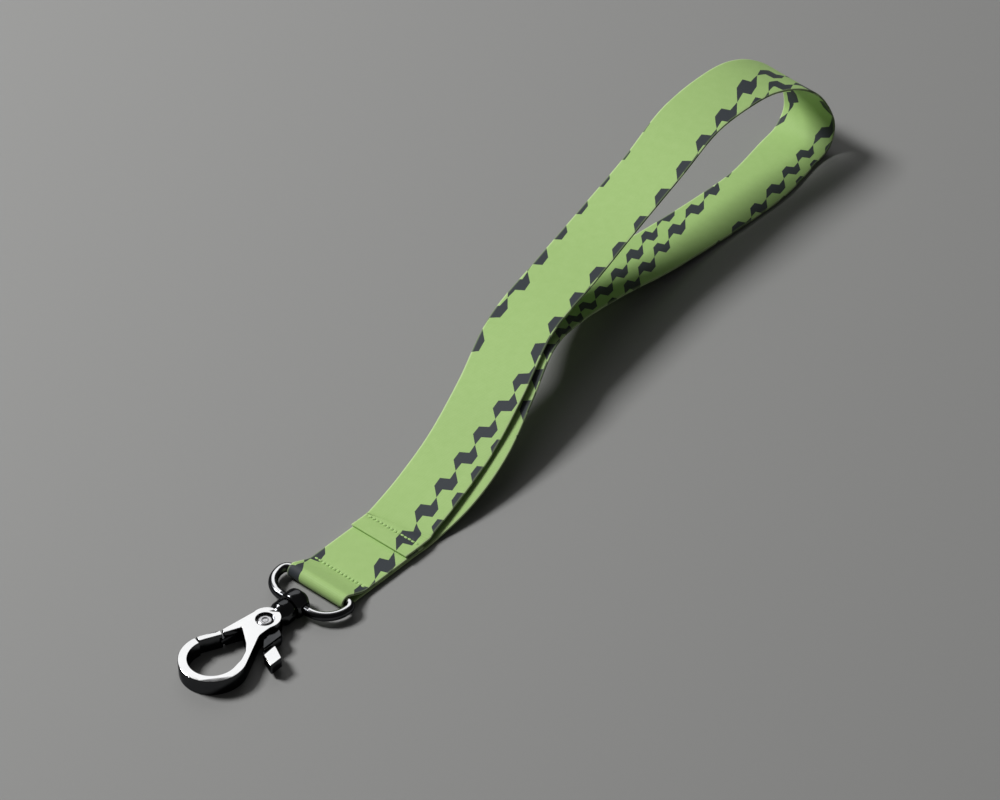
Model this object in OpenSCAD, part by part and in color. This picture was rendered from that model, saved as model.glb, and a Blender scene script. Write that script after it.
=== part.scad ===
// Wrist lanyard: a ribbon hand loop sewn round a D-ring, with a swivelling lobster-claw hook.
// The frame's origin is the centre of the hook's eye, on the plane that everything rests on.
// +Y runs along the swivel's axis from the hook to the strap, and +Z is up.

/* [Strap] */
// Width of the ribbon
strap_w = 20; // [16:0.5:22]
// Thickness of one layer of ribbon
strap_t = 0.8; // [0.6:0.05:0.9]
// Distance from the ring's bar to the ribbon's cut end
seam_to_bar = 23; // [19:0.5:24]
// Length of ribbon folded back over the ring's bar and sewn down
fold_back = 29.5; // [27:0.5:34]
// Slope of the ribbon where it comes down off the bar, in degrees
fold_slope = 25; // [22:1:32]

/* [Stitching] */
// Radius of the sewing thread where it lies on the ribbon
thread_r = 0.22; // [0.15:0.01:0.3]
// Number of stitches in a row
stitches = 14; // [10:1:16]
// Distance from the ring's bar to the stitch row beside it
front_row_to_bar = 7.6; // [7.5:0.1:9.5]
// Distance from the cut end to the stitch row that holds it down
back_row_inset = 5.5; // [3:0.1:7]

/* [D-ring] */
// Radius of the ring's wire
wire_r = 1.3; // [1:0.05:1.4]
// Room between the ribbon's edges and the ring, both sides together
bar_play = 4; // [3:0.5:8]
// Distance between the bar and the bow, centre to centre
ring_depth = 9.3; // [8.5:0.1:12]
// Radius of the small corners at the bar's ends
bar_corner_r = 2; // [1.6:0.1:2.5]
// Radius of the bow's large corners
bow_corner_r = 7; // [5:0.1:7]
// Width of the swivel boss in the middle of the bow
boss_w = 7.6; // [6.5:0.1:9]
// Length of the swivel boss along the swivel's axis
boss_len = 4.6; // [3.5:0.1:5]

/* [Hook] */
// Thickness of the hook
hook_t = 4.6; // [4:0.1:5.5]
// Inner radius of the hook's eye
eye_r = 6.6; // [5.6:0.1:7]
// Width of the band of metal round the eye
eye_band = 2.4; // [2.2:0.1:3]
// Distance from the centre of the eye to the gate pin
pin_to_eye = 19; // [18:0.1:21]
// Radius of the hook's head round the pin
head_r = 4; // [3.9:0.1:4.6]
// Diameter of the round neck between the head and the ring's boss
neck_w = 6.8; // [5.5:0.1:7.4]
// Length of the round neck, with the cone that it starts with
neck_len = 5.4; // [4.8:0.1:5.6]
// Distance from the pin to the shoulder that the ring's boss turns on
shoulder_to_pin = 8.6; // [8:0.1:10]

/* [Gate] */
// Radius of the gate pin
pin_r = 1.5; // [1.2:0.05:1.6]
// Radius of the recess that the pin's head sits in
recess_r = 2.6; // [2.4:0.05:2.8]
// Depth of that recess
recess_deep = 0.8; // [0.5:0.05:0.85]
// Thickness of the gate lever inside the head
lever_t = 1.8; // [1.5:0.05:2]
// Radius of the lever's hub
hub_r = 3.1; // [2.9:0.05:3.3]
// Width of the gate where it closes the hook
gate_w = 1.8; // [1.5:0.05:2.1]
// Height of the thumb tab
tab_t = 3.2; // [2.4:0.1:3.4]
// Wire radius of the gate spring
spring_wire_r = 0.2; // [0.15:0.01:0.2]

/* [Swivel] */
// Radius of the swivel post
post_r = 1.5; // [1.2:0.05:1.6]
// Radius of the mushroom head that keeps the post in the ring
mushroom_r = 2.3; // [2:0.05:2.3]
// Height of the mushroom head
mushroom_h = 1.2; // [0.8:0.05:1.4]
// How deep the post is pressed into the hook's neck
post_grip = 3.4; // [2.5:0.1:3.6]

/* [Fits] */
// Radial clearance of everything that turns
turn_gap = 0.06; // [0.03:0.01:0.1]
// Side clearance of flat faces that slide past each other
face_gap = 0.1; // [0.05:0.01:0.2]

/* [Hidden] */
$fn = 64;
eps = 0.01;
// A hair's breadth, so that flat and round faces cross and don't meet at a tangent.
hair = 0.02;

ribbon_green = [0.60, 0.74, 0.44];
chrome = [0.80, 0.81, 0.83];
dark_chrome = [0.62, 0.63, 0.66];

// Heights: the hook, the swivel and the ring's bar share one middle plane.
mid_z = hook_t / 2;
shoulder_y = pin_to_eye + shoulder_to_pin;
boss_y = shoulder_y + face_gap;
bow_y = boss_y + boss_len / 2;
bar_y = bow_y + ring_depth;
fold_r_in = wire_r + turn_gap;
fold_r_out = fold_r_in + strap_t;
strap_z0 = mid_z - fold_r_out;
seam_y = bar_y + seam_to_bar;
fold_end_y = bar_y + fold_back;
joint_y = bar_y + 8;

// Heights of the middle of the sewn layers: strap underneath, fold-back, cut end on top.
low_z = strap_z0 + strap_t / 2;
top_z = low_z + 2 * strap_t;

// Route of the ribbon from its cut end round the hand loop and back under itself:
// [x, y, z, turn of the width about Z in degrees, tilt of the width in degrees].
// y is measured from the ring's bar, and z is the middle of the ribbon.
route = [
    [-0.5, seam_to_bar, top_z, 0, 0],
    [-0.5, 29.5, top_z, 0, 0],
    [-1, 33.5, top_z, 3, 0],
    [-3, 46.5, 4.2, 9, 2],
    [-6, 62.5, 7.8, 13, 2],
    [-11, 80.5, 13.4, 17, 4],
    [-19, 102.5, 18.4, 15, 3],
    [-24, 127.5, 20.4, 10, 1],
    [-29, 152.5, 22.2, 10, 3],
    [-33, 177.5, 25.6, 9, 3],
    [-37, 200.5, 29, 5, -2],
    [-37, 220.5, 30.2, -1, -6],
    [-36, 232.5, 28.4, -8, -4],
    [-34, 242.5, 23.6, -12, 3],
    [-32, 248.5, 17, -10, 7],
    [-30, 250.5, 8, -2, 6],
    [-29, 246.5, 2, 5, 2],
    [-28, 237.5, low_z, 7, 0],
    [-25, 219.5, low_z, 4, 0],
    [-25, 201.5, low_z, 0, 0],
    [-25.5, 183.5, 1.2, 0, 0],
    [-25.5, 163.5, 3.2, 1, 0],
    [-25, 142.5, 7.2, 4, 0],
    [-22, 119.5, 12, 10, 1],
    [-16, 99.5, 16, 16, 3],
    [-8.8, 81.5, 12, 18, 3],
    [-2.8, 64.5, 7, 13, 2],
    [0, 48.5, 3.2, 8, 1],
    [0, 33.5, low_z, 2, 0],
    [0, 24.5, low_z, 0, 0],
    [0, 16.5, low_z, 0, 0],
    [0, 8, low_z, 0, 0]];
steps = 4;

// Catmull-Rom curve through the route's stations.
function station(i) = route[max(0, min(len(route) - 1, i))];
function blend(a, b, c, d, t) =
    0.5 * (2 * b + (c - a) * t + (2 * a - 5 * b + 4 * c - d) * t * t
           + (3 * b - a - 3 * c + d) * t * t * t);
function along(k) =
    let (i = min(floor(k / steps), len(route) - 2), t = k / steps - i)
    blend(station(i - 1), station(i), station(i + 1), station(i + 2), t);
function place(p) = [p[0], p[1] + bar_y, p[2]];
function width_dir(p) = [cos(p[3]) * cos(p[4]), sin(p[3]) * cos(p[4]), sin(p[4])];
function unit(v) = v / norm(v);
last = steps * (len(route) - 1);
function ribbon_section(k) =
    let (p = along(k), ahead = place(along(min(last, k + 0.1))) - place(along(max(0, k - 0.1))),
         run = unit(ahead), w0 = width_dir(p), w = unit(w0 - run * (w0 * run)), n = cross(w, run),
         side = w * strap_w / 2, up = n * strap_t / 2, c = place(p))
    [c - side - up, c + side - up, c + side + up, c - side + up];

// The long run of ribbon: cut end, hand loop and the lower run back to the fold.
module strap_loop() {
    rings = [for (k = [0 : last]) each ribbon_section(k)];
    walls = [for (k = [0 : last - 1], j = [0 : 3])
             let (a = 4 * k + j, b = 4 * k + (j + 1) % 4) each [[a, b, b + 4], [a, b + 4, a + 4]]];
    ends = [[0, 3, 2], [0, 2, 1], [4 * last, 4 * last + 1, 4 * last + 2],
            [4 * last, 4 * last + 2, 4 * last + 3]];
    color(ribbon_green)
        polyhedron(points = rings, faces = concat(walls, ends), convexity = 6);
}

// The fold is drawn from the side, with the frame's Y across and its Z up, and then given
// the ribbon's width.
lay_z = strap_z0 + strap_t;
fold_centre = [bar_y, mid_z];
slope_dir = [sin(fold_slope), cos(fold_slope)];
function slope_end(r, z) = bar_y + r * slope_dir[0] + (mid_z + r * slope_dir[1] - z) / tan(fold_slope);
module across_ribbon(w) translate([-w / 2, 0, 0]) rotate([90, 0, 90]) linear_extrude(w) children();
module sewn_layers() {
    polygon([fold_centre, fold_centre + (fold_r_out - hair) * slope_dir,
             [slope_end(fold_r_out, lay_z + strap_t), lay_z + strap_t],
             [fold_end_y, lay_z + strap_t], [fold_end_y, lay_z], [joint_y, lay_z],
             [joint_y, strap_z0], [bar_y - 15 * hair, strap_z0 + 1.5 * hair]]);
}
module fold_gap() {
    polygon([fold_centre, fold_centre + (fold_r_in + hair) * slope_dir,
             [slope_end(fold_r_in, lay_z), lay_z - hair], [bar_y, lay_z - hair]]);
}

// The ribbon's turn round the ring's bar, with the layer that is folded back and sewn.
module ring_fold() {
    color(ribbon_green) difference() {
        union() {
            across_ribbon(strap_w) translate(fold_centre) circle(fold_r_out);
            across_ribbon(strap_w) sewn_layers();
        }
        across_ribbon(strap_w + 2) translate(fold_centre) circle(fold_r_in);
        across_ribbon(strap_w + 2) fold_gap();
    }
}

// One row of stitches across the ribbon, lying on a layer whose top is at height z.
module stitch_row(y, z) {
    pitch = (strap_w - 2) / stitches;
    for (i = [0 : stitches - 1])
        translate([(i + 0.5 - stitches / 2) * pitch, y, z + thread_r * 0.8])
            rotate([0, 90, 0]) cylinder(h = pitch * 0.75, r = thread_r, center = true, $fn = 16);
}
module front_stitch_row() color(ribbon_green)
    stitch_row(bar_y + front_row_to_bar, strap_z0 + 2 * strap_t + face_gap);
module back_stitch_row() color(ribbon_green)
    stitch_row(seam_y + back_row_inset, strap_z0 + 3 * strap_t + face_gap);

// Cast D-ring: bar, two small corners, two large corners and the boss for the swivel.
bar_half = (strap_w + bar_play) / 2 - bar_corner_r;
side_x = bar_half + bar_corner_r;
side_y = bow_y + bow_corner_r;
module bend(r, from, sweep) {
    rotate([0, 0, from]) rotate_extrude(angle = sweep) translate([r, 0]) circle(wire_r, $fn = 32);
}
module rod_x(half) rotate([0, 90, 0]) cylinder(h = 2 * half, r = wire_r, center = true, $fn = 32);
module d_ring() {
    color(chrome) translate([0, 0, mid_z]) difference() {
        union() {
            translate([0, bar_y, 0]) rod_x(bar_half);
            translate([0, bow_y, 0]) rod_x(side_x - bow_corner_r);
            for (s = [0, 1]) mirror([s, 0, 0]) {
                translate([bar_half, bar_y - bar_corner_r, 0]) bend(bar_corner_r, 0, 90);
                translate([side_x - bow_corner_r, side_y, 0]) bend(bow_corner_r, -90, 90);
                translate([side_x, side_y, 0]) rotate([-90, 0, 0])
                    cylinder(h = bar_y - bar_corner_r - side_y, r = wire_r, $fn = 32);
            }
            intersection() {
                translate([0, boss_y, 0]) rotate([-90, 0, 0]) cylinder(h = boss_len, d = boss_w);
                translate([-boss_w, boss_y - 1, -mid_z]) cube([2 * boss_w, boss_len + 2, 2 * boss_w]);
            }
        }
        translate([0, boss_y - 1, 0]) rotate([-90, 0, 0])
            cylinder(h = boss_len + 2, r = post_r + turn_gap);
    }
}

// Post that the hook turns on, with its mushroom head inside the ring.
module swivel_post() {
    head_y = boss_y + boss_len + face_gap;
    color(dark_chrome) translate([0, 0, mid_z]) rotate([-90, 0, 0]) rotate_extrude()
        polygon([[0, shoulder_y - post_grip], [post_r, shoulder_y - post_grip], [post_r, head_y],
                 [mushroom_r, head_y], [mushroom_r, head_y + mushroom_h * 0.35],
                 [mushroom_r * 0.75, head_y + mushroom_h * 0.8],
                 [mushroom_r * 0.35, head_y + mushroom_h], [0, head_y + mushroom_h]]);
}

// Outline of the hook. The eye's circle, the head's circle and the tangents that join them.
eye_out = eye_r + eye_band;
right_turn = 28;
arm_tip = [-5.7, 8.7];
left_turn = atan2(arm_tip[1], arm_tip[0]) + acos(eye_out / norm(arm_tip));
head_centre = [-0.2, pin_to_eye + 0.6];
waist = [3, pin_to_eye - 5];
corner = [-2.2, pin_to_eye - 6.3];
module hook_outline() {
    circle(eye_out);
    translate(head_centre) circle(head_r);
    polygon([eye_out * [cos(right_turn), sin(right_turn)], waist, head_centre + [head_r * 0.86, -head_r / 2],
             [0, pin_to_eye], head_centre + [-head_r, -0.6], arm_tip,
             eye_out * [cos(left_turn), sin(left_turn)], [0, 0]]);
}
// The open eye: its circle, drawn out to the corner between the two arms.
module eye_hole() {
    circle(eye_r);
    polygon([eye_r * [1, 0.15], [5.9, 4.2], [4.7, 7], [2.7, 9.2], corner, [-4.4, 8.2],
             eye_r * [-0.9, 0.42], [0, 0]]);
}
// Side of the eye that the gate closes, between the nose's step and the fixed arm's tip.
step_turn = 166;
module mouth(gap) {
    polygon([[0, 0], 12 * [cos(step_turn - gap), sin(step_turn - gap)], [-12, 8],
             [-9, arm_tip[1] + 1.8 - gap / 6], [-4, arm_tip[1] - 0.6 - gap / 6]]);
}

// Lever seen from above: hub, gate arm in the fixed arm's channel, and the arm of the thumb tab.
tab_in = [[8.6, pin_to_eye - 5.2], [8.9, pin_to_eye - 9.6]];
tab_out = [[13.2, pin_to_eye - 7.4], [13.1, pin_to_eye - 11.3]];
// The ear beside the head rises to a ridge, with the tab outside it.
ridge_x = 7.5;
ridge_h = 1.6;
ear_fall = 30;
ear_in = 3.9;
module lever_plate() {
    translate([0, pin_to_eye]) circle(hub_r);
    polygon([[0, pin_to_eye - 2], [-hub_r, pin_to_eye], [-hub_r - 0.2, pin_to_eye - 4],
             arm_tip + [0.8, 0.4], arm_tip + [0.3, -1.6], arm_tip + [1.9, -2], [-3.3, pin_to_eye - 6.5]]);
    polygon([[0, pin_to_eye + 2], [2.4, pin_to_eye + 1.6], [5, pin_to_eye + 0.4], [6.9, pin_to_eye - 0.8],
             [ridge_x, pin_to_eye - 1.8], [ridge_x, pin_to_eye - 4.8], tab_in[0], tab_in[1],
             [ridge_x, pin_to_eye - 8.6], [2.4, pin_to_eye - 3], [0, pin_to_eye - 2]]);
}
module ear() {
    difference() {
        translate([0, 0, mid_z - lever_t / 2]) linear_extrude(ridge_h + lever_t / 2)
            polygon([[ear_in, pin_to_eye + 0.9], [5, pin_to_eye + 0.4], [6.9, pin_to_eye - 0.8],
                     [ridge_x, pin_to_eye - 1.8], [ridge_x, pin_to_eye - 8.6], [ear_in, pin_to_eye - 4.6]]);
        translate([ridge_x, pin_to_eye - 12, mid_z + ridge_h]) rotate([0, -ear_fall, 0])
            translate([-(ridge_x - ear_in) / cos(ear_fall), 0, 0])
                cube([(ridge_x - ear_in) / cos(ear_fall) + eps, 16, 3]);
    }
}
// The part of the gate that closes the hook follows the eye's own outline.
module gate_front() {
    difference() {
        intersection() {
            hook_outline();
            mouth(3);
        }
        circle(eye_out - gate_w);
        polygon([[0, 0], (eye_out - gate_w) * [cos(left_turn), sin(left_turn)],
                 arm_tip + [gate_w * 0.9, -0.4], [0, 12]]);
    }
}

// Slot through the head for the lever: room for it at rest and with the gate fully open.
slot_t = lever_t + 2 * face_gap;
module lever_slot() {
    translate([0, pin_to_eye]) circle(hub_r + 2 * face_gap);
    polygon([[0, pin_to_eye + 2.2], [12, pin_to_eye + 7], [14, pin_to_eye - 6], [7, pin_to_eye - 10.5],
             [0.8, pin_to_eye - 10.5], [-6, pin_to_eye - 14], arm_tip + [0.5, -1], arm_tip + [0.55, 0.6],
             [-hub_r - 0.5, pin_to_eye - 4], [-hub_r - 0.2, pin_to_eye]]);
}

// Round neck, cut flat underneath, with a cone where it rises out of the head.
module neck() {
    cone_len = neck_len * 0.3;
    intersection() {
        translate([0, shoulder_y - neck_len, mid_z]) rotate([-90, 0, 0]) {
            cylinder(h = cone_len + eps, d1 = neck_w * 0.68, d2 = neck_w);
            translate([0, 0, cone_len]) cylinder(h = neck_len - cone_len, d = neck_w);
        }
        translate([-neck_w, pin_to_eye, 0]) cube([2 * neck_w, shoulder_to_pin, neck_w]);
    }
}

module hook_body() {
    color(chrome) difference() {
        union() {
            linear_extrude(hook_t) difference() {
                hook_outline();
                eye_hole();
                mouth(0);
            }
            neck();
        }
        translate([0, 0, mid_z - slot_t / 2]) linear_extrude(slot_t) lever_slot();
        translate([0, pin_to_eye, -eps]) cylinder(h = hook_t + 2 * eps, r = pin_r);
        for (z = [-recess_deep, hook_t - recess_deep])
            translate([0, pin_to_eye, z]) cylinder(h = 2 * recess_deep, r = recess_r);
        translate([0, pin_to_eye, mid_z + slot_t / 2 - eps]) rotate([0, 0, fixed_leg_turn])
            translate([coil_r, 0, 0]) cylinder(h = leg_h, r = leg_hole_r, $fn = 24);
        translate([0, shoulder_y - post_grip, mid_z]) rotate([-90, 0, 0])
            cylinder(h = post_grip + 1, r = post_r);
    }
}

// Rivet that holds the lever, with a flat head in each recess.
module gate_pin() {
    head = recess_deep * 0.7;
    color(dark_chrome) translate([0, pin_to_eye, 0]) {
        translate([0, 0, recess_deep - head]) cylinder(h = hook_t - 2 * (recess_deep - head), r = pin_r);
        for (z = [recess_deep - head, hook_t - recess_deep])
            translate([0, 0, z]) cylinder(h = head, r = recess_r - 0.3);
    }
}

// Torsion spring in a pocket of the lever's hub. One leg stands in the head, one in the lever.
coils = 2.25;
coil_steps = 20;
coil_sides = 8;
coil_r = (pin_r + hub_r) / 2 - 0.05;
coil_rise = 2 * spring_wire_r + 0.02;
pocket_h = (coils + 1) * coil_rise + 0.1;
pocket_r = coil_r + spring_wire_r + 0.1;
spring_z = mid_z + lever_t / 2 - pocket_h + spring_wire_r + 0.05;
moving_leg_turn = 200;
fixed_leg_turn = moving_leg_turn + 360 * coils;
leg_h = 0.3;
leg_hole_r = spring_wire_r + 0.06;
function coil_ring(k) =
    let (a = moving_leg_turn + 360 * k / coil_steps, z = spring_z + coil_rise * k / coil_steps)
    [for (j = [0 : coil_sides - 1])
     let (b = 360 * j / coil_sides, r = coil_r + spring_wire_r * cos(b))
     [r * cos(a), r * sin(a) + pin_to_eye, z + spring_wire_r * sin(b)]];
module spring_leg(turn, z) {
    translate([0, pin_to_eye, z]) rotate([0, 0, turn]) translate([coil_r, 0, 0])
        cylinder(h = mid_z + slot_t / 2 + leg_h * 0.8 - spring_z - coils * coil_rise,
                 r = spring_wire_r, $fn = 16);
}
module gate_spring() {
    n = round(coils * coil_steps);
    m = coil_sides;
    rings = [for (k = [0 : n]) each coil_ring(k)];
    walls = [for (k = [0 : n - 1], j = [0 : m - 1])
             let (a = m * k + j, b = m * k + (j + 1) % m) each [[a, b, b + m], [a, b + m, a + m]]];
    first_end = [for (j = [1 : m - 2]) [0, j + 1, j]];
    last_end = [for (j = [1 : m - 2]) [m * n, m * n + j, m * n + j + 1]];
    color(dark_chrome) {
        polyhedron(points = rings, faces = concat(walls, first_end, last_end), convexity = 6);
        spring_leg(fixed_leg_turn, spring_z + coils * coil_rise);
        spring_leg(moving_leg_turn, mid_z - lever_t / 2 + 0.1);
    }
}

// Rocker: gate arm, hub with the spring's pocket, and thumb tab.
module gate_lever() {
    color(chrome) difference() {
        union() {
            translate([0, 0, mid_z - lever_t / 2]) linear_extrude(lever_t) lever_plate();
            ear();
            linear_extrude(hook_t) gate_front();
            translate([0, 0, mid_z - lever_t / 2 - 0.3]) linear_extrude(tab_t)
                polygon([tab_in[0], tab_out[0], tab_out[1], tab_in[1]]);
        }
        translate([0, pin_to_eye, 0]) cylinder(h = hook_t, r = pin_r + turn_gap);
        translate([0, pin_to_eye, mid_z + lever_t / 2 - pocket_h]) cylinder(h = hook_t, r = pocket_r);
        translate([0, pin_to_eye, 0]) rotate([0, 0, moving_leg_turn]) translate([coil_r, 0, 0])
            cylinder(h = mid_z, r = leg_hole_r, $fn = 24);
    }
}

strap_loop();
ring_fold();
front_stitch_row();
back_stitch_row();
d_ring();
swivel_post();
hook_body();
gate_pin();
gate_spring();
gate_lever();
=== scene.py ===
# %% [markdown]
# # A wrist lanyard with a swivel hook
#
# This lesson models one green ribbon, a D-ring, a swivelling hook and its sprung gate. Lengths
# are in metres. The origin is the centre of the hook's eye, on the floor. +Y runs from the hook
# to the ribbon, and +Z is up.

import bpy
import bmesh
import math
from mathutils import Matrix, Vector


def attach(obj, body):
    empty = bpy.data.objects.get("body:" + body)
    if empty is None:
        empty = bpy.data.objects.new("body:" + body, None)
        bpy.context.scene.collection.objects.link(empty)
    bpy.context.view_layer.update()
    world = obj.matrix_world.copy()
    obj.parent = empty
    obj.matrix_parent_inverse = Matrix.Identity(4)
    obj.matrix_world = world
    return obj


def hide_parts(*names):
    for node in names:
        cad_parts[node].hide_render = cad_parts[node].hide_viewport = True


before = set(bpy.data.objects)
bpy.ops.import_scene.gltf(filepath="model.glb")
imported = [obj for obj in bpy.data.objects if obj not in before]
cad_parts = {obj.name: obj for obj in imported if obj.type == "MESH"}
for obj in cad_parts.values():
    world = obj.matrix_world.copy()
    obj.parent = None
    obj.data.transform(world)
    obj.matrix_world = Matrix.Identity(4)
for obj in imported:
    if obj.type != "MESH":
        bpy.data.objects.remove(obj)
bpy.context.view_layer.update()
scene = bpy.context.scene
MM = 0.001
print("nodes of the frame:", sorted(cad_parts))

# %% [markdown]
# ## Camera
#
# The camera stands at azimuth 41.4 and elevation 39.3 degrees, 0.94 m from a point on the floor
# in the middle of the lanyard. A long lens keeps the perspective weak. The place and the aim are
# both points, which are easier to move than three angles.

# %% Place the camera
camera_place = Vector((0.4656, -0.4150, 0.5945))
aim = Vector((-0.0166, 0.1298, 0.0))
camera_roll = math.radians(-0.47)
camera_data = bpy.data.cameras.new("Camera")
camera_data.lens = 120.7
camera_data.sensor_width = 36
camera_data.clip_start = 0.05
camera = bpy.data.objects.new("Camera", camera_data)
scene.collection.objects.link(camera)
camera.location = camera_place
camera.rotation_euler = (aim - camera_place).to_track_quat("-Z", "Y").to_euler()
camera.rotation_euler.rotate_axis("Z", camera_roll)
scene.camera = camera
scene.view_settings.view_transform = "Standard"
print("camera distance:", round((aim - camera_place).length, 3), "m")

# %% [markdown]
# ## Floor and light
#
# A plain floor, a dim even sky and two soft panels. Polished metal shows what stands around it.
# The broad panel behind is what the hook's flat tops mirror, which turns them white. The small
# bright panel on the left lights the cloth and throws the shadows. The metal's sides mirror
# their own shadow on the floor, and a painted shade in their material darkens them to black.

# %% Floor
floor_drop = 0.0001
bpy.ops.object.select_all(action="DESELECT")
bpy.ops.mesh.primitive_plane_add(size=6, location=(0, 0, -floor_drop))
floor = bpy.context.object
floor.name = "floor"
floor_finish = bpy.data.materials.new("floor_finish")
floor_finish.use_nodes = True
floor_shader = floor_finish.node_tree.nodes["Principled BSDF"]
floor_shader.inputs["Base Color"].default_value = (0.25, 0.25, 0.245, 1)
floor_shader.inputs["Roughness"].default_value = 0.75
floor.data.materials.append(floor_finish)

# %% Sky and soft panels
sky = bpy.data.worlds.new("sky")
scene.world = sky
sky.use_nodes = True
sky.node_tree.nodes["Background"].inputs["Color"].default_value = (1.0, 1.0, 1.0, 1)
sky.node_tree.nodes["Background"].inputs["Strength"].default_value = 0.055
lit_point = Vector((-0.01, 0.12, 0.0))
panel_distance = 1.5


def soft_panel(name, toward, size, power):
    """An area light that stands in the direction `toward` and faces the lanyard."""
    light = bpy.data.lights.new(name, "AREA")
    light.shape = "RECTANGLE"
    light.size, light.size_y = size
    light.energy = power
    panel = bpy.data.objects.new(name, light)
    scene.collection.objects.link(panel)
    panel.location = lit_point + Vector(toward).normalized() * panel_distance
    panel.rotation_euler = (lit_point - panel.location).to_track_quat("-Z", "Y").to_euler()


soft_panel("back_panel", (-0.55, 0.50, 0.67), (1.15, 0.95), 3.6)
soft_panel("left_panel", (-0.64, -0.27, 0.72), (0.42, 0.42), 26)
print("floor and two panels placed")

# %% [markdown]
# ## Writing shader maths
#
# A small class wraps one socket of a node tree, so that a pattern can be written as a sum in
# Python. Each operator adds one Math node. Drawing the same nodes by hand would work too, but
# a pattern of thirty nodes is hard to read back.

# %% The Wire class


class Wire:
    """One output socket, with arithmetic."""

    def __init__(self, tree, socket):
        self.tree = tree
        self.socket = socket

    def join(self, operation, *others, clamp=False):
        node = self.tree.nodes.new("ShaderNodeMath")
        node.operation = operation
        node.use_clamp = clamp
        for slot, value in zip(node.inputs, (self, *others)):
            if isinstance(value, Wire):
                self.tree.links.new(value.socket, slot)
            else:
                slot.default_value = value
        return Wire(self.tree, node.outputs[0])

    def __add__(self, other):
        return self.join("ADD", other)

    def __radd__(self, other):
        return self.join("ADD", other)

    def __sub__(self, other):
        return self.join("SUBTRACT", other)

    def __rsub__(self, other):
        return (self * -1.0).join("ADD", other)

    def __mul__(self, other):
        return self.join("MULTIPLY", other)

    def __rmul__(self, other):
        return self.join("MULTIPLY", other)

    def __truediv__(self, other):
        return self.join("DIVIDE", other)

    def __gt__(self, other):
        return self.join("GREATER_THAN", other)

    def __lt__(self, other):
        return self.join("LESS_THAN", other)

    def wrap(self, high, low):
        return self.join("WRAP", high, low)

    def clamp(self):
        return self.join("ADD", 0.0, clamp=True)


# %% The Finish class


class Finish:
    """A new material, with short ways to add nodes to it."""

    def __init__(self, name):
        self.material = bpy.data.materials.new(name)
        self.material.use_nodes = True
        self.tree = self.material.node_tree
        self.shader = self.tree.nodes["Principled BSDF"]

    def node(self, kind, settings=(), out=0, **values):
        node = self.tree.nodes.new(kind)
        for key, value in dict(settings).items():
            setattr(node, key, value)
        for key, value in values.items():
            self.put(node.inputs[key.replace("_", " ")], value)
        return Wire(self.tree, node.outputs[out])

    def put(self, slot, value):
        if isinstance(value, Wire):
            self.tree.links.new(value.socket, slot)
        else:
            slot.default_value = value

    def set(self, **values):
        for key, value in values.items():
            self.put(self.shader.inputs[key.replace("_", " ")], value)

    def split(self, vector):
        node = self.tree.nodes.new("ShaderNodeSeparateXYZ")
        self.tree.links.new(vector.socket, node.inputs[0])
        return [Wire(self.tree, socket) for socket in node.outputs]

    def pack(self, x, y, z=0.0):
        return self.node("ShaderNodeCombineXYZ", X=x, Y=y, Z=z)

    def place(self):
        """Object coordinates, in metres."""
        return self.node("ShaderNodeTexCoord", out=3)

    def noise(self, vector, scale, detail=3.0, roughness=0.5):
        return self.node("ShaderNodeTexNoise", Vector=vector, Scale=scale, Detail=detail,
                         Roughness=roughness)

    def mix(self, amount, low, high):
        """A colour between low and high. The sockets share names, so they are given by number."""
        node = self.tree.nodes.new("ShaderNodeMix")
        node.data_type = "RGBA"
        for number, value in ((0, amount), (6, low), (7, high)):
            self.put(node.inputs[number], value)
        return Wire(self.tree, node.outputs[2])

    def bump(self, height, strength, distance):
        return self.node("ShaderNodeBump", Height=height, Strength=strength, Distance=distance)


print("shader helpers ready")

# %% [markdown]
# ## Sizes
#
# These are the sizes that the frame was built with, so that each piece fits its body and its
# joint. Heights are of a layer's middle.

# %% Sizes of the lanyard
ribbon_w = 20 * MM
ribbon_t = 0.8 * MM  # from one layer to the next
cloth_t = 0.72 * MM  # the cloth itself, which leaves a thin line of shadow between layers
low_z = 0.54 * MM  # the lowest layer
mid_z = 2.3 * MM  # the ring's bar and the hook's swivel axis
bar_y = 39.3 * MM
fold_r = 1.76 * MM
fold_slope = math.radians(25)
seam_to_bar = 23 * MM
fold_back = 29.5 * MM
front_row_to_bar = 7.6 * MM
back_row_inset = 5.5 * MM
front_row_y = bar_y + front_row_to_bar
back_row_y = bar_y + seam_to_bar + back_row_inset
stitch_count = 14
stitch_pitch = (ribbon_w - 2 * MM) / stitch_count
print("ribbon", ribbon_w, "m wide; bar at", bar_y, "m")

# %% [markdown]
# ## The ribbon's path
#
# The ribbon is one length. It starts at its hidden end, runs towards the ring, turns round the
# bar, runs out along the floor, turns back at the far loop and ends on top of itself at the
# seam. A cloth simulation could drop it, but it would come to rest somewhere else each time a
# size changed. A path through fixed stations holds the shape. Each station is x, y from the bar
# and z in millimetres, then how far the ribbon's width is turned about Z and tilted, in
# degrees. A Catmull-Rom curve passes through them all.

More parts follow.
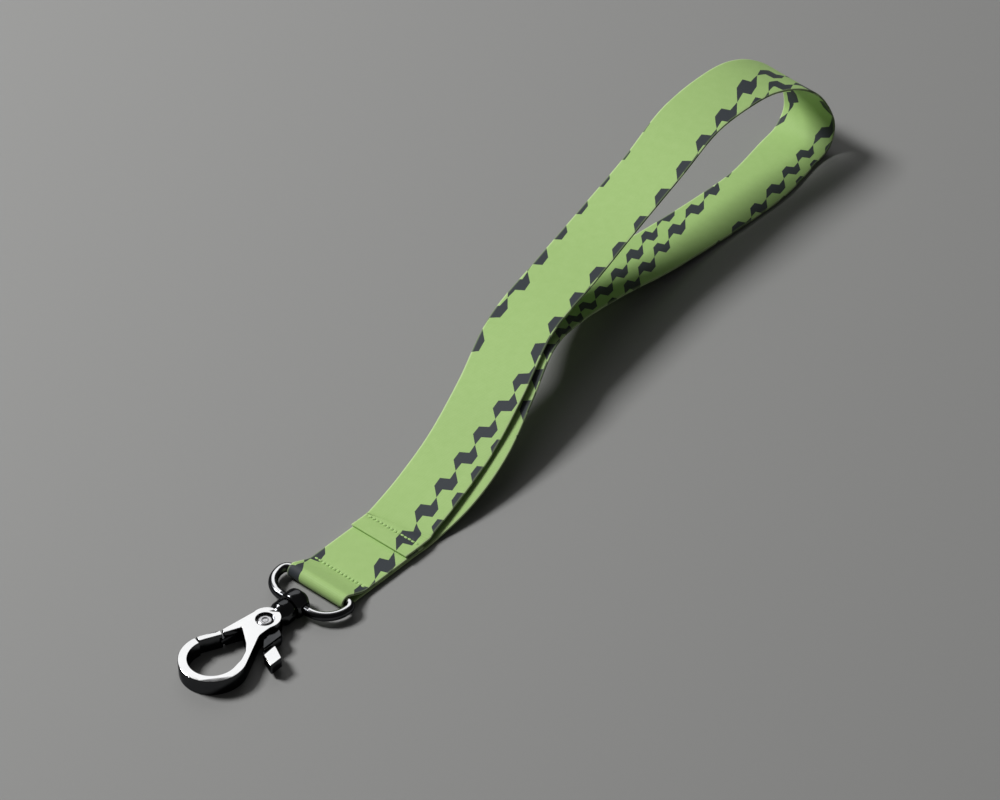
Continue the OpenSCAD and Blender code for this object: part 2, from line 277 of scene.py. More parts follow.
# %% Stations of the hand loop
loop_stations = [
    (-0.3, 23, 2.14, 0, 0), (-0.3, 29.5, 2.14, 0, 0), (-1, 33.5, 2.14, 3, 0), (-3, 46.5, 4.2, 9, 2),
    (-6, 62.5, 7.8, 13, 2), (-11, 80.5, 13.4, 17, 4), (-19, 102.5, 18.4, 15, 3), (-24, 127.5, 20.4, 10, 1),
    (-29, 152.5, 22.2, 10, 3), (-33, 177.5, 25.6, 9, 3), (-37, 200.5, 29, 5, -2),
    (-37, 220.5, 30.2, -1, -6), (-36, 232.5, 28.4, -8, -4), (-34, 242.5, 23.6, -12, 3),
    (-32, 248.5, 17, -10, 7), (-30, 250.5, 8, -2, 6), (-29, 246.5, 2, 5, 2),
    (-28, 237.5, 0.54, 7, 0), (-25, 219.5, 0.54, 4, 0), (-25, 201.5, 0.54, 0, 0),
    (-25.5, 183.5, 1.2, 0, 0), (-25.5, 163.5, 3.2, 1, 0), (-25, 142.5, 7.2, 4, 0), (-22, 119.5, 12, 10, 1),
    (-16, 99.5, 16, 16, 3), (-8.8, 81.5, 12, 18, 3), (-2.8, 64.5, 7, 13, 2), (0, 48.5, 3.2, 8, 1),
    (0, 33.5, 0.54, 2, 0), (0, 24.5, 0.54, 0, 0), (0, 16.5, 0.54, 0, 0), (0, 8, 0.54, 0, 0)]
print(len(loop_stations), "stations")

# %% A curve through the stations


def catmull(a, b, c, d, t):
    """Point at t from 0 to 1 between b and c."""
    return [
        0.5 * (2 * q + (r - p) * t + (2 * p - 5 * q + 4 * r - s) * t ** 2 + (3 * q - p - 3 * r + s) * t ** 3)
        for p, q, r, s in zip(a, b, c, d)
    ]


def loop_points(per_step):
    """The loop from the seam to the fold, as (place, direction of the width)."""
    last = len(loop_stations) - 1
    found = []
    for i in range(last):
        four = [loop_stations[max(0, min(last, j))] for j in (i - 1, i, i + 1, i + 2)]
        for k in range(per_step + (i == last - 1)):
            x, y, z, turn, tilt = catmull(*four, k / per_step)
            turn, tilt = math.radians(turn), math.radians(tilt)
            level = math.cos(tilt)
            width = Vector((math.cos(turn) * level, math.sin(turn) * level, math.sin(tilt)))
            found.append((Vector((x * MM, y * MM + bar_y, z * MM)), width))
    return found


# %% The fold round the bar


def bend(start, corner, end, t):
    """Point at t from 0 to 1 on a curve that leaves start towards corner and reaches end."""
    return start * (1 - t) ** 2 + corner * 2 * t * (1 - t) + end * t * t


def fold_points():
    """The hidden end, the slope up to the bar and the turn round it, back to the lowest layer."""
    step, ease, ease_share = 0.5 * MM, 1.2 * MM, 0.55
    z_back = low_z + ribbon_t
    top = Vector((0, bar_y + fold_r * math.sin(fold_slope), mid_z + fold_r * math.cos(fold_slope)))
    foot = Vector((0, top.y + (top.z - z_back) / math.tan(fold_slope), z_back))
    found = []
    y = bar_y + fold_back
    while y > foot.y + ease:
        found.append(Vector((0, y, z_back)))
        y -= step
    eased = top.lerp(foot, ease_share)
    found += [bend(foot + Vector((0, ease, 0)), foot, eased, i / 8) for i in range(9)]
    found += [top.lerp(foot, ease_share * (1 - i / 4)) for i in range(1, 5)]
    for i in range(1, 25):
        turn = math.pi / 2 - fold_slope + (math.pi + fold_slope) * i / 24
        found.append(Vector((0, bar_y + fold_r * math.cos(turn), mid_z + fold_r * math.sin(turn))))
    y = bar_y + step
    while y < bar_y + 7.8 * MM:
        found.append(Vector((0, y, low_z)))
        y += step
    return [(place, Vector((1, 0, 0))) for place in found]


# %% The whole path and its length
path = fold_points() + list(reversed(loop_points(14)))
travel = [0.0]
for (a, _), (b, _) in zip(path, path[1:]):
    travel.append(travel[-1] + (b - a).length)
ribbon_length = travel[-1]
print("the ribbon is", round(ribbon_length * 1000), "mm long, in", len(path), "steps")

# %% [markdown]
# ## Where the print runs
#
# The real ribbon is printed before it is sewn, and its chains drift sideways along it. A tiled
# picture would run straight, so the drift is written down instead. Each entry of the tables is
# a distance from the seam in millimetres, then how far the border's first chain runs inside
# the ribbon's right-hand edge, then how many links of the chain lie between the seam and that
# place, then how far the left-hand edge's chains are pushed outwards.

# %% Tables of the print's drift
outer_print = [
    (0, 3.6, 0, 0), (11, 6, 1, 0), (31.4, 6.5, 3, 0), (41.2, 6, 4, 0), (60, 2.8, 6, 2.8), (70, 0.6, 7, 1.6),
    (84, 0.5, 8.1, 0.5), (95, -0.4, 9, 0.3), (107, 0.6, 10, 0.6), (132, -0.6, 12, 3), (158, 0.2, 14, 3),
    (184, 1, 16, 3), (199, 4, 17, 0), (215, 10, 18, 0), (300, 8, 25, 0), (580, 4, 50, 0)]
inner_print = [
    (0, 5, -24, 0), (245, 0, 0, 0), (249, 2, 0.3, 0.5), (256, 5.2, 1, 2.5), (276, 4.8, 3, 2.5),
    (287, 3.5, 4, 1.8), (297, 1, 5, 1), (312, -1.5, 6.3, 0.4), (323, -4.5, 7.2, 0), (331, -6.7, 8, 0),
    (356, -15, 10, 0), (369, -17.7, 11, 0), (400, -21, 14, 0), (432, -21.5, 17, 0), (444, -27, 18, 0),
    (580, -27, 30, 0)]
# On the part that is folded back, distances are from its hidden end.
fold_print = [(0, 6.3), (6.5, 4.6), (14.5, 2.1), (17, 1.3), (26, -1.1), (60, -3)]


def along_table(table, x, item=1):
    """Straight-line reading of one item between the table's entries."""
    for low, high in zip(table, table[1:]):
        if x <= high[0]:
            return low[item] + (high[item] - low[item]) * max(0.0, x - low[0]) / (high[0] - low[0])
    return table[-1][item]


print("the print is placed by", len(outer_print) + len(inner_print) + len(fold_print), "entries")

# %% [markdown]
# ## The ribbon
#
# Satin ribbon is a thin sheet with soft edges. A plane with Solidify would do, but its edges
# would be square. Here a flat loop of points, rounded at both ends, is carried along the path,
# and the columns crowd towards the edges, where the rounding needs them.

# %% The ribbon's cross-section
columns = 28
half_w, half_t = ribbon_w / 2, cloth_t / 2


def section():
    """Points round the cross-section, as (across, up): over the top, then back underneath."""
    edge_round, crowding = 0.5 * MM, math.pi / 2 * 0.96
    top = []
    for i in range(columns + 1):
        u = math.sin(crowding * (2 * i / columns - 1)) / math.sin(crowding)
        edge = max(0.0, abs(u) * half_w - (half_w - edge_round)) / edge_round
        top.append((u * half_w, half_t * math.sqrt(max(0.0, 1 - edge ** 2) * 0.75 + 0.25 * (edge < 1))))
    return top + [(across, -up) for across, up in reversed(top[1:-1])]


cut = section()
ring_size = len(cut)
print("the cross-section has", ring_size, "points")

# %% Carry the cross-section along the path
sewn_reach, sewn_dip, plain_edge = 0.9 * MM, 0.13 * MM, 1.2 * MM
mesh = bpy.data.meshes.new("ribbon")
build = bmesh.new()
rings = []
for i, (centre, width) in enumerate(path):
    before, after = path[max(0, i - 1)][0], path[min(len(path) - 1, i + 1)][0]
    heading = (after - before).normalized()
    width = (width - heading * width.dot(heading)).normalized()
    up = width.cross(heading)
    sewn = 0.0
    if centre.z < 3 * MM:
        sewn = sum(math.exp(-((centre.y - y) / sewn_reach) ** 2) for y in (front_row_y, back_row_y))
    ring = []
    for across, high in cut:
        dip = sewn_dip * sewn if high * up.z > 0 and abs(across) < half_w - plain_edge else 0.0
        ring.append(build.verts.new(centre + width * across + up * high - Vector((0, 0, dip))))
    rings.append(ring)
for a, b in zip(rings, rings[1:]):
    for j in range(ring_size):
        k = (j + 1) % ring_size
        build.faces.new((a[j], a[k], b[k], b[j]))
build.faces.new(rings[0][::-1])
build.faces.new(rings[-1])
bmesh.ops.recalc_face_normals(build, faces=build.faces[:])
print("ribbon has", len(build.faces), "faces")

# %% [markdown]
# ## Two maps on the ribbon
#
# One UV map carries the print, which drifts, and a second one carries the weave, which
# doesn't. Both are in units of 10 mm. The path runs from the ring outwards below and back
# above, so the side that its own "up" shows is the inner face, and the other side is the outer
# face. No ink crosses the middle, so the chains at the two edges can keep their own steps.

# %% Print and weave maps
map_unit = 10
link_period = 11.2
pair_spacing = 25.5
inner_scale = 0.85
fold_print_end = 60
fold_left_push, fold_left_start, fold_right_start = 1.3, 12.9, 6.7


def print_place(across, run, on_top):
    """Where a point lies in the print, as (sideways, along) in millimetres of print."""
    left = across < 0
    from_seam = ribbon_length / MM - run
    table = inner_print if on_top else outer_print
    from_edge = across - half_w / MM
    chain = from_edge + along_table(table, from_seam) + left * along_table(table, from_seam, 3)
    links = along_table(table, from_seam, 2)
    if on_top:
        return chain / inner_scale + 2 * pair_spacing, -links * link_period
    if run < fold_print_end:
        chain = from_edge + along_table(fold_print, run) + left * fold_left_push
        return chain, (fold_left_start if left else fold_right_start) - run
    return chain, links * link_period


print_map = build.loops.layers.uv.new("print")
weave_map = build.loops.layers.uv.new("weave")
build.verts.index_update()
for face in build.faces:
    on_top = all(v.index % ring_size <= columns for v in face.verts)
    for loop in face.loops:
        row, column = divmod(loop.vert.index, ring_size)
        across, run = cut[column][0] / MM, travel[row] / MM
        loop[weave_map].uv = (across / map_unit, run / map_unit)
        loop[print_map].uv = [place / map_unit for place in print_place(across, run, on_top)]
build.to_mesh(mesh)
build.free()
ribbon = bpy.data.objects.new("ribbon", mesh)
scene.collection.objects.link(ribbon)
for polygon in mesh.polygons:
    polygon.use_smooth = True
print("maps written on", len(mesh.loops), "corners")

# %% [markdown]
# ## The ribbon's cloth
#
# The print is a chain of bent dark links. Each link is point-symmetric: left of the chain's
# middle line it lies between two slanting lines, and right of it the same holds upside down.
# Two chains run side by side, 7 mm apart, and the pair repeats every 25.5 mm. Sums of sockets
# draw it sharply at any distance.

# %% The printed links
cloth = Finish("printed_ribbon")
print_uv = cloth.node("ShaderNodeUVMap", {"uv_map": "print"})
weave_uv = cloth.node("ShaderNodeUVMap", {"uv_map": "weave"})
px, py, _ = cloth.split(print_uv)
wx, wy, _ = cloth.split(weave_uv)
px, py, wx, wy = (wire * float(map_unit) for wire in (px, py, wx, wy))
fine = cloth.pack(wx, wy)
half_link, link_tall = 2.7, 7.85
low_lean, high_lean = 1.333, 0.333
chain_gap, chain_step = 7.0, 2.7
left_margin = 9.0
bleed = (cloth.noise(fine, 9.0, 2.0) - 0.5) * 0.12


def link_chain(x, y):
    """1 inside a link of the chain whose middle line is at x = 0, and 0 outside."""
    side = x > 0.0
    reach = x.join("ABSOLUTE")
    upward = y * (1.0 - side) + (link_period - y) * side
    step = upward.wrap(link_period, 0.0)
    return (reach < half_link) * (step > reach * low_lean) * (step < link_tall - reach * high_lean)


shifted = (px + left_margin + bleed).wrap(pair_spacing, 0.0) - left_margin
ragged = py + bleed
second_chain = link_chain(shifted - chain_gap, ragged + chain_step)
printed = link_chain(shifted, ragged).join("MAXIMUM", second_chain)
print("a link is", link_tall, "mm of its", link_period, "mm step")

# %% [markdown]
# ## Satin, colour and wear
#
# Satin's floats run along the ribbon in narrow ribs, crossed by fine weft lines. A real ribbon
# isn't one green: it is paler where it is rubbed and along its edges, and has short fuzz.

# %% Weave and colours
ribs = (wx * 18.0).join("SINE")
weft = (wy * 14.0 + ribs * 0.6).join("SINE")
weave = ribs * 0.6 + weft * 0.4
worn = cloth.noise(fine, 0.35, 4.0, 0.6)
fuzz = cloth.noise(fine, 6.0, 3.0, 0.6)
selvedge = ((wx.join("ABSOLUTE") - 9.35) * 2.2).clamp()
green = cloth.mix((worn * 1.6 - 0.3).clamp(), (0.345, 0.545, 0.165, 1), (0.40, 0.60, 0.205, 1))
green = cloth.mix((fuzz * 0.5).clamp(), green, (0.46, 0.66, 0.27, 1))
green = cloth.mix(selvedge * 0.55, green, (0.62, 0.76, 0.42, 1))
ink = cloth.mix((fuzz * 0.8 - 0.1).clamp(), (0.026, 0.031, 0.040, 1), (0.050, 0.058, 0.070, 1))
face_colour = cloth.mix(printed * (1.0 - selvedge * 0.35), green, ink)
# Painted shade: the face is darkened a little, and more along the weave's ribs.
shade = cloth.mix((weave * 0.10 + 0.12).clamp(), face_colour, (0.02, 0.03, 0.015, 1))

# %% Puckers
# Each sewn row pulls the cloth down between its needle holes. Here a row is placed by how far
# along the ribbon it lies.
pucker_reach = 0.6
rows = 0.0
for row_run in (fold_back - front_row_to_bar, ribbon_length - back_row_inset):
    away = (wy - row_run / MM) / pucker_reach
    rows = (away * away * -1.0).join("EXPONENT") + rows
scallop = (wx * (2 * math.pi * MM / stitch_pitch)).join("COSINE") * 0.5 + 0.5
between_edges = wx.join("ABSOLUTE") < 9.2
pucker = rows * scallop * between_edges
# Painted shade: the dips between needle holes are darker green.
shade = cloth.mix((pucker * pucker * 0.22).clamp(), shade, (0.10, 0.17, 0.05, 1))

# %% Put the cloth on the ribbon
cloth.set(
    Base_Color=shade,
    Roughness=(0.62 + weave * 0.05 + fuzz * 0.10),
    Normal=cloth.bump(weave * 0.010 + fuzz * 0.022 - pucker * 0.10, 1.0, 0.001),
    Specular_IOR_Level=0.28,
    Sheen_Weight=0.06,
    Sheen_Roughness=0.4,
)
cloth.shader.inputs["Sheen Tint"].default_value = (0.85, 1.0, 0.7, 1)
ribbon.data.materials.append(cloth.material)
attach(ribbon, "strap")
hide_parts("strap_loop", "ring_fold")
print("ribbon dressed")

# %% [markdown]
# ## Two rows of stitches
#
# Each stitch is a short thread that dips into the cloth at both ends, so what shows is a small
# long bead. One bead is shaped from a sphere and then copied along the row with its own mesh.
# Slight turns and shifts keep the row from looking like a machine part.

# %% One bead of thread


def pick(piece):
    """Makes a piece the only selected object, and the active one."""
    bpy.ops.object.select_all(action="DESELECT")
    piece.select_set(True)
    bpy.context.view_layer.objects.active = piece


def join(name, pieces):
    """Joins pieces into one object."""
    pick(pieces[0])
    for piece in pieces:
        piece.select_set(True)
    bpy.ops.object.join()
    whole = bpy.context.object
    whole.name = name
    return whole


bpy.ops.object.select_all(action="DESELECT")
bpy.ops.mesh.primitive_uv_sphere_add(segments=16, ring_count=10, radius=1)
bead = bpy.context.object
bead.scale = (stitch_pitch * 0.49, 0.33 * MM, 0.20 * MM)
bpy.ops.object.transform_apply(location=False, rotation=False, scale=True)
print("one stitch is", round(bead.dimensions.x / MM, 2), "mm long")

# %% Both rows


def stitch_row(name, y, z, replaced):
    """A row of stitches across the ribbon at y, at height z."""
    made = []
    for i in range(stitch_count):
        stitch = bead.copy()
        stitch.data = bead.data.copy()
        scene.collection.objects.link(stitch)
        across = (i + 0.5 - stitch_count / 2) * stitch_pitch
        stitch.location = (across, y + 0.05 * MM * math.sin(i * 2.4), z)
        stitch.rotation_euler = (0, 0, math.radians(4 * math.sin(i * 1.7)))
        made.append(stitch)
    row = join(name, made)
    bpy.ops.object.transform_apply(location=True, rotation=True, scale=True)
    bpy.ops.object.shade_smooth()
    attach(row, "strap")
    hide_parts(replaced)
    return row


stitch_sink = 0.09 * MM
underside = low_z - ribbon_t / 2
two_layers_up = underside + 2 * ribbon_t - stitch_sink
front_row = stitch_row("front_stitches", front_row_y, two_layers_up, "front_stitch_row")
back_row = stitch_row("back_stitches", back_row_y, two_layers_up + ribbon_t, "back_stitch_row")
bpy.data.objects.remove(bead)

# %% [markdown]
# ## Thread
#
# Sewing thread is two fine plies twisted together, in the ribbon's green. A slanted wave makes
# the plies and a fine noise the lint, both too small to model.

# %% Thread finish
thread = Finish("sewing_thread")
thread_place = thread.place()
tx, ty, _ = thread.split(thread_place)
twist = ((tx * 9000.0) + (ty * 14000.0)).join("SINE")
lint = thread.noise(thread_place, 2600.0, 3.0)
thread.set(
    Base_Color=thread.mix(
        (twist * 0.3 + lint * 0.6).clamp(), (0.34, 0.52, 0.17, 1), (0.42, 0.62, 0.24, 1)),
    Roughness=(0.55 + lint * 0.2),
    Normal=thread.bump(twist * 0.5 + lint * 0.5, 0.5, 0.00005),
)
for row in (front_row, back_row):
    row.data.materials.append(thread.material)
print(2 * stitch_count, "stitches made")

# %% [markdown]
# ## Polished metal
#
# The fittings are cast zinc, polished and plated. That leaves a bright mirror with faint
# casting waves, fine wiping scratches and slightly duller spots. The flat tops keep this bright
# metal. The walls, what lies inside a slot, the neck, the ring's boss and the gate's ear get a
# painted shade instead: a near-black base colour that stands in for the dark surroundings they
# mirror. Each piece carries an attribute that says where the painted shade goes.

# %% Metal finishes


def polished(name, low, high, roughness, waves, scratches):
    """A plated metal between two tones. Waves and scratches say how rough its casting is."""
    # Painted shade: the near-black base colour that marked faces get in place of the bright metal.
    painted_shade_tone = (0.055, 0.057, 0.060, 1)
    metal = Finish(name)
    here = metal.place()
    x, y, z = metal.split(here)
    blotch = metal.noise(here, 140.0, 4.0, 0.55)
    painted_shade = metal.node("ShaderNodeAttribute", {"attribute_name": "painted_shade"}, out=2)
    grain = metal.noise(metal.pack(x * 900.0 + y * 300.0, y * 4200.0, z * 2500.0), 1.0, 2.0)
    wave = metal.noise(here, 210.0, 1.0, 0.4)
    bright = metal.mix((blotch * 1.6 - 0.3).clamp(), low, high)
    metal.set(
        Base_Color=metal.mix((painted_shade * (0.93 + blotch * 0.12)).clamp(), bright, painted_shade_tone),
        Metallic=1.0,
        Roughness=(roughness + blotch * 0.05 + grain * scratches + painted_shade * 0.04),
        Normal=metal.bump(wave * waves + grain * 0.02, 0.30, 0.0004),
    )
    metal.shader.inputs["Specular Tint"].default_value = (0.45, 0.45, 0.46, 1)
    return metal.material


hook_chrome = polished("hook_chrome", (0.80, 0.81, 0.82, 1), (0.90, 0.90, 0.90, 1), 0.045, 0.25, 0.05)
ring_chrome = polished("ring_chrome", (0.74, 0.75, 0.77, 1), (0.88, 0.88, 0.89, 1), 0.07, 0.35, 0.07)
rivet_chrome = polished("rivet_chrome", (0.55, 0.55, 0.57, 1), (0.78, 0.78, 0.79, 1), 0.16, 0.5, 0.12)
spring_steel = polished("spring_steel", (0.30, 0.30, 0.31, 1), (0.52, 0.52, 0.53, 1), 0.26, 0.3, 0.2)
print("four metal finishes made")

# %% [markdown]
# ## Outlines
#
# A casting's outline is mostly arcs, joined by straight runs with rounded corners. From here
# on, outlines and profiles are in millimetres, as a drawing of the part would give them.

# %% Outline helpers


def arc(x, y, radius, start, end, count=24):
    """Points on a circle, from angle start to angle end in degrees."""
    turns = [math.radians(start + (end - start) * i / count) for i in range(count + 1)]
    return [(x + radius * math.cos(t), y + radius * math.sin(t)) for t in turns]


def soften(corner, before, after, radius, count=5):
    """A corner of an outline, rounded to a radius."""
    here, one, two = Vector(corner), Vector(before), Vector(after)
    a, b = (one - here).normalized(), (two - here).normalized()
    longest = min((one - here).length, (two - here).length) * 0.45
    cut_back = min(radius / math.tan(a.angle(b) / 2), longest)
    start, end = here + a * cut_back, here + b * cut_back
    return [tuple(bend(start, here, end, i / count)) for i in range(count + 1)]


def outline(items):
    """Joins plain points and (x, y, radius) corners into one closed outline."""
    flat = [item[:2] for item in items]
    points = []
    for i, item in enumerate(items):
        if len(item) == 3:
            points += soften(item[:2], flat[i - 1], flat[(i + 1) % len(flat)], item[2])
        else:
            points.append(item)
    return points


print("a rounded triangle has", len(outline([(0, 0, 1), (9, 0, 1), (0, 9, 1)])), "points")

# %% [markdown]
# ## Plates
#
# The hook and the gate are flat castings with broken edges. A filled circle is moved to the
# outline and extruded, and its upper and lower rims are bevelled, each by its own width.

# %% A plate


def round_rim(piece, width, wanted):
    """In edit mode, bevels the edges whose ends both lie at a wanted height."""
    bpy.ops.mesh.select_mode(type="EDGE")
    bpy.ops.mesh.select_all(action="DESELECT")
    bpy.ops.object.mode_set(mode="OBJECT")
    for edge in piece.data.edges:
        edge.select = all(wanted(piece.data.vertices[i].co.z) for i in edge.vertices)
    bpy.ops.object.mode_set(mode="EDIT")
    bpy.ops.mesh.bevel(offset=width * MM, segments=3, profile=0.5, affect="EDGES",
                       clamp_overlap=True, loop_slide=False)


def plate(name, points, low, high, top_edge, bottom_edge, top_height=None):
    """A plate from low to high with rounded rims. A sloping top is given as a height for each x."""
    bpy.ops.object.select_all(action="DESELECT")
    bpy.ops.mesh.primitive_circle_add(vertices=len(points), fill_type="NGON", calc_uvs=False)
    piece = bpy.context.object
    piece.name = name
    for vert, (x, y) in zip(piece.data.vertices, points):
        vert.co = (x * MM, y * MM, low * MM)
    bpy.ops.object.mode_set(mode="EDIT")
    bpy.ops.mesh.select_all(action="SELECT")
    bpy.ops.mesh.extrude_region_move(TRANSFORM_OT_translate={"value": (0, 0, (high - low) * MM)})
    bpy.ops.mesh.select_all(action="SELECT")
    bpy.ops.mesh.normals_make_consistent(inside=False)
    bpy.ops.object.mode_set(mode="OBJECT")
    split = (low + high) / 2 * MM
    if top_height:
        for vert in piece.data.vertices:
            if vert.co.z > split:
                vert.co.z = top_height(vert.co.x / MM) * MM
        split = low * MM + 1e-6
    bpy.ops.object.mode_set(mode="EDIT")
    if top_edge:
        round_rim(piece, top_edge, lambda z: z > split)
    if bottom_edge:
        round_rim(piece, bottom_edge, lambda z: z <= split)
    bpy.ops.mesh.select_all(action="SELECT")
    bpy.ops.mesh.normals_make_consistent(inside=False)
    bpy.ops.object.mode_set(mode="OBJECT")
    return piece


# %% [markdown]
# ## Turned shapes
#
# Rivets, the neck and the ring's boss are round about one axis. Spinning a profile would make
# them, and so does this: a disc at the first station is extruded to each next station and
# scaled to its radius there, which leaves both ends closed.

# %% A turned shape


def turned(name, profile, centre, axis, flat_below=False):
    """A lathe shape. profile is (distance along the axis, radius), centre the axis's place."""
    lies = axis == "Y"

    def station(along_axis):
        place = (centre[0], along_axis, centre[1]) if lies else (centre[0], centre[1], along_axis)
        return Vector(place) * MM

    bpy.ops.object.select_all(action="DESELECT")
    bpy.ops.mesh.primitive_circle_add(
        vertices=56, radius=profile[0][1] * MM, fill_type="NGON", calc_uvs=False,
        location=station(profile[0][0]), rotation=(math.radians(90) if lies else 0, 0, 0))
    bpy.ops.object.transform_apply(location=True, rotation=True, scale=True)
    piece = bpy.context.object
    piece.name = name
    bpy.ops.object.mode_set(mode="EDIT")
    bpy.ops.mesh.select_all(action="SELECT")
    for (start, old), (end, new) in zip(profile, profile[1:]):
        step, grow = station(end) - station(start), new / old
        size = (grow, 1, grow) if lies else (grow, grow, 1)
        bpy.ops.mesh.extrude_region_move(TRANSFORM_OT_translate={"value": step})
        bpy.ops.transform.resize(value=size, center_override=station(end))
    bpy.ops.mesh.select_all(action="SELECT")
    bpy.ops.mesh.normals_make_consistent(inside=False)
    bpy.ops.object.mode_set(mode="OBJECT")
    if flat_below:
        for vert in piece.data.vertices:
            vert.co.z = max(vert.co.z, 0.0)
    return piece


# %% [markdown]
# ## Putting shapes together
#
# A boolean cuts a real slot or recess, which a material can't fake when the gate swings out of
# it. Then every casting gets its painted-shade attribute, its smooth shading and its body of the
# frame.

# %% Carve and finish


def carve(piece, other, operation="DIFFERENCE"):
    """Cuts other out of piece, or adds it, and removes other."""
    step = piece.modifiers.new("carve", "BOOLEAN")
    step.object = other
    step.operation = operation
    step.solver = "EXACT"
    pick(piece)
    bpy.ops.object.modifier_apply(modifier=step.name)
    bpy.data.objects.remove(other)


def mark_painted_shade(piece, deep, dark):
    """Writes the painted-shade mark: 1 where a face isn't level, lies between two depths, or lies in a
    region given painted shade.
    """
    nearly_level, sharpness = 0.965, 9
    mark = piece.data.attributes.new("painted_shade", "FLOAT", "FACE")
    for face in piece.data.polygons:
        inside = deep[0] * MM < face.center.z < deep[1] * MM
        steep = min(1.0, (nearly_level - abs(face.normal.z)) * sharpness)
        mark.data[face.index].value = max(float(inside), float(dark(*(face.center / MM))), steep)


def finish_piece(piece, material, body, slot_name, *nodes,
                 angle=35, deep=(0, 0), dark=lambda x, y, z: 0):
    """Smooth shading, a material, and the frame body that the piece moves with."""
    mark_painted_shade(piece, deep, dark)
    pick(piece)
    bpy.ops.object.shade_smooth_by_angle(angle=math.radians(angle))
    piece.data.materials.clear()
    piece.data.materials.append(material)
    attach(piece, body)
    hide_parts(*nodes)
    print(piece.name, "has", len(piece.data.polygons), "faces")


# %% [markdown]
# ## The hook
#
# One C-shaped plate makes the eye, the right arm, the head and the fixed left arm, which ends
# in a square tip. A round neck grows out of the head. A slot takes the gate, and a round
# recess takes the rivet's head.

# %% The hook's plate and neck
eye_r, eye_out = 6.6, 9.0
pin_y = 19.0
hook_t = 4.6
swivel_z = mid_z / MM
hook = plate("hook_casting", outline(
    arc(0, 0, eye_out, 166, 388, 60)
    + [(3.2, 13.6, 4.0), (3.3, 17.4, 1.5)]
    + arc(-0.2, 19.6, 4.0, -22, 188, 30)
    + [(-5.65, 8.95, 0.35), (-4.35, 8.35, 0.3), (-2.3, 12.8, 0.25), (2.7, 9.2, 2.0), (4.7, 7.0, 3.0)]
    + [(5.95, 4.2, 3.0)]
    + arc(0, 0, eye_r, 8, -194, 56)
), 0, hook_t, 0.24, 0.5)
carve(hook, turned("neck", [
    (21.2, 1.6), (22.6, 2.1), (23.5, 2.7), (24.1, 3.2), (24.6, 3.4), (25.0, 3.42), (26.6, 3.42),
    (27.2, 3.3), (27.5, 3.1), (27.6, 2.9)], (0, swivel_z), "Y", flat_below=True), "UNION")
print("hook and neck are one piece of", len(hook.data.polygons), "faces")

# %% The hook's slot and recesses
slot_low, slot_high = 1.3, 3.3
carve(hook, plate("slot", [
    (3.1, 19.0), (0, 21.2), (12, 26), (14, 13), (7, 8.5), (0.8, 8.5), (-6, 5), (-5.2, 7.7), (-5.15, 9.3),
    (-3.6, 15), (-3.3, 19), (-2.4, 21.2)], slot_low, slot_high, 0, 0))
recess_r, recess_floor = 2.6, 3.8
for low, high in ((recess_floor, hook_t + 0.6), (-0.6, hook_t - recess_floor)):
    carve(hook, turned("recess", [(low, recess_r), (high, recess_r)], (0, pin_y), "Z"))
# Painted shade: steep faces, the slot's inside and the neck get a near-black base colour.
finish_piece(hook, hook_chrome, "hook", "hook_metal", "hook_body", deep=(0.9, 3.7),
             dark=lambda x, y, z: y > 23 or (y > 20 and z > 4.65))

# %% [markdown]
# ## The gate's rivet
#
# The rivet's head is a low dome with the dimple that the setting tool leaves. Both ends are
# the same, so the lower end's profile is the upper end's, read backwards.

# %% Gate rivet
shank_r = 1.5
dome = [
    (3.8, 2.28), (3.95, 2.2), (4.2, 1.75), (4.32, 1.3), (4.3, 1.0), (4.12, 0.62), (4.14, 0.3), (4.2, 0.02)]
shank = [(0.801, shank_r), (3.799, shank_r)]
pin = turned("gate_rivet", [(hook_t - z, r) for z, r in reversed(dome)] + shank + dome, (0, pin_y), "Z")
finish_piece(pin, rivet_chrome, "hook", "rivet_metal", "gate_pin", angle=50)

# %% [markdown]
# ## The gate
#
# The gate is a rocker. Its front closes the hook between the nose and the fixed arm, its ear
# stands out beside the head, and the thumb pushes its tab. Four plates of different heights,
# joined by the arm that runs through the slot, are simpler than one plate cut down in steps.

# %% Gate front, between the nose and the fixed arm
nose_turn, tangent_turn = 163.4, 153.3
front_in = eye_out - 1.8
front = plate("gate_front", outline(
    arc(0, 0, eye_out, nose_turn, tangent_turn, 6)
    + [(-5.80, 8.50, 0.25), (-4.20, 7.68, 0.25)]
    + arc(0, 0, front_in, tangent_turn, nose_turn, 6)), 0, hook_t, 0.22, 0.3)
print("gate front has", len(front.data.polygons), "faces")

# %% Arm, ear and tab
arm = plate("gate_arm", [
    (0, 21), (-2.2, 21), (-3.1, 19), (-3.3, 15), (-4.9, 9.1), (-5.3, 7.2), (-3.8, 6.8), (-3.3, 12.5),
    (0, 17), (2.4, 16), (7.4, 10.6), (8.9, 9.6), (8.6, 13.8), (7.4, 14.2), (7.3, 17.0), (6.8, 18.1),
    (5.0, 19.3), (2.4, 20.5)], 1.4, 3.2, 0.12, 0.12)
ear_high, ear_right, ear_slope = 3.9, 7.5, math.radians(30)
ear = plate("ear", outline([
    (3.9, 19.8, 0.3), (5.0, 19.4, 0.5), (6.9, 18.2, 0.8), (ear_right, 17.0, 0.6), (ear_right, 10.5, 0.4),
    (3.9, 14.3, 0.4)]), 1.4, ear_high, 0.14, 0.2,
    top_height=lambda x: ear_high - (ear_right - x) * math.tan(ear_slope))
tab = plate("tab", outline([
    (8.55, 13.9, 0.35), (8.85, 9.35, 0.35), (13.1, 7.65, 0.45), (13.05, 11.65, 0.45)]), 1.1, 4.3, 0.22, 0.5)
lever = join("gate_rocker", [front, arm, ear, tab])
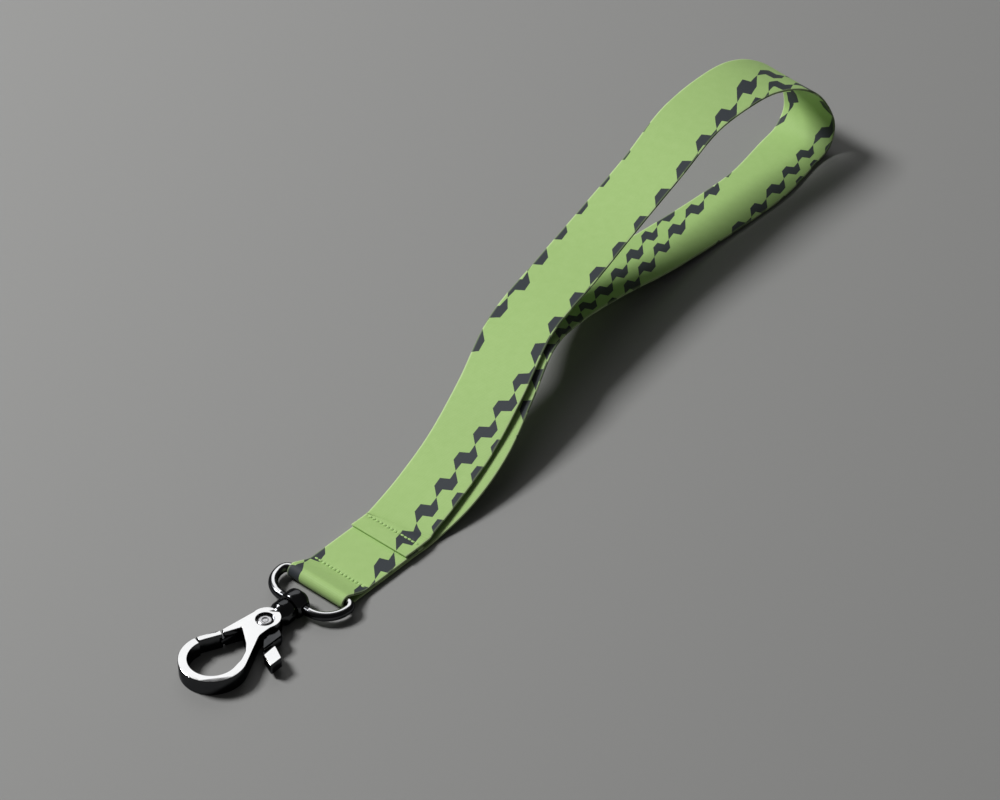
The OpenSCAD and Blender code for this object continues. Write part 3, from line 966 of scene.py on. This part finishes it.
# Painted shade darkens the ear, all but its ridge, which stays the one bright line between the head and the
# tab.
finish_piece(lever, hook_chrome, "gate", "hook_metal", "gate_lever", angle=30, deep=(0.9, 3.3),
             dark=lambda x, y, z: 3.5 < x < 8.3 and y > 8 and abs(x - ear_right) > 0.25)

# %% [markdown]
# ## The ring
#
# The D-ring is cast round wire: a straight bar in the ribbon's fold, two tight corners and a
# wide bow, with a thick boss in the middle of the bow. A curve with a round bevel follows such
# a path at an even thickness, and a turned shape makes the boss.

# %% A closed round rod


def rod(name, points, radius):
    """A closed round rod along these points."""
    curve = bpy.data.curves.new(name, "CURVE")
    curve.dimensions = "3D"
    curve.bevel_depth = radius * MM
    curve.bevel_resolution = 6
    spline = curve.splines.new("POLY")
    spline.points.add(len(points) - 1)
    for point, (x, y, z) in zip(spline.points, points):
        point.co = (x * MM, y * MM, z * MM, 1)
    spline.use_cyclic_u = True
    piece = bpy.data.objects.new(name, curve)
    scene.collection.objects.link(piece)
    pick(piece)
    bpy.ops.object.convert(target="MESH")
    return bpy.context.object


# %% D-ring with its boss
wire_r, bar_half, corner_r, bow_r = 1.3, 10, 2, 7
bar, bow_x, bow_y = bar_y / MM, 5, 37
flat_path = (
    [(x, bar) for x in (-bar_half, -bar_half / 2, 0, bar_half / 2, bar_half)]
    + arc(bar_half, bar - corner_r, corner_r, 90, 0, 8)
    + arc(bow_x, bow_y, bow_r, 0, -90, 20)
    + [(0, bow_y - bow_r)]
    + arc(-bow_x, bow_y, bow_r, -90, -180, 20)
    + arc(-bar_half, bar - corner_r, corner_r, 180, 90, 8)[:-1]
)
wire = rod("ring_wire", [(x, y, swivel_z) for x, y in flat_path], wire_r)
boss = turned("boss", [
    (27.7, 1.6), (27.7, 2.9), (27.85, 3.35), (28.2, 3.65), (28.7, 3.8), (31.2, 3.8), (31.7, 3.68),
    (32.05, 3.4), (32.25, 3.0), (32.3, 1.6)], (0, swivel_z), "Y", flat_below=True)
ring = join("ring_casting", [wire, boss])
# Painted shade: the boss and the ring's steep faces get a near-black base colour.
finish_piece(ring, ring_chrome, "d_ring", "ring_metal", "d_ring", angle=50,
             dark=lambda x, y, z: abs(x) < 3.9 and y < 33)

# %% [markdown]
# ## The swivel's rivet and the gate's spring
#
# The rivet runs from the hook's neck through the ring's boss and ends in a mushroom head. The
# spring is wound wire, and the frame's own mesh already has its coils, so it only gets a steel.

# %% Swivel rivet
post = turned("swivel_rivet", [
    (24.2, shank_r), (32.39, shank_r), (32.4, 2.28), (32.7, 2.3), (33.0, 2.15), (33.3, 1.75), (33.5, 1.1),
    (33.58, 0.4), (33.6, 0.02)], (0, swivel_z), "Y")
finish_piece(post, rivet_chrome, "hook", "rivet_metal", "swivel_post", angle=50)

# %% The spring's steel
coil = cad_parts["gate_spring"]
coil.data.materials.clear()
coil.data.materials.append(spring_steel)
print("metal pieces made")
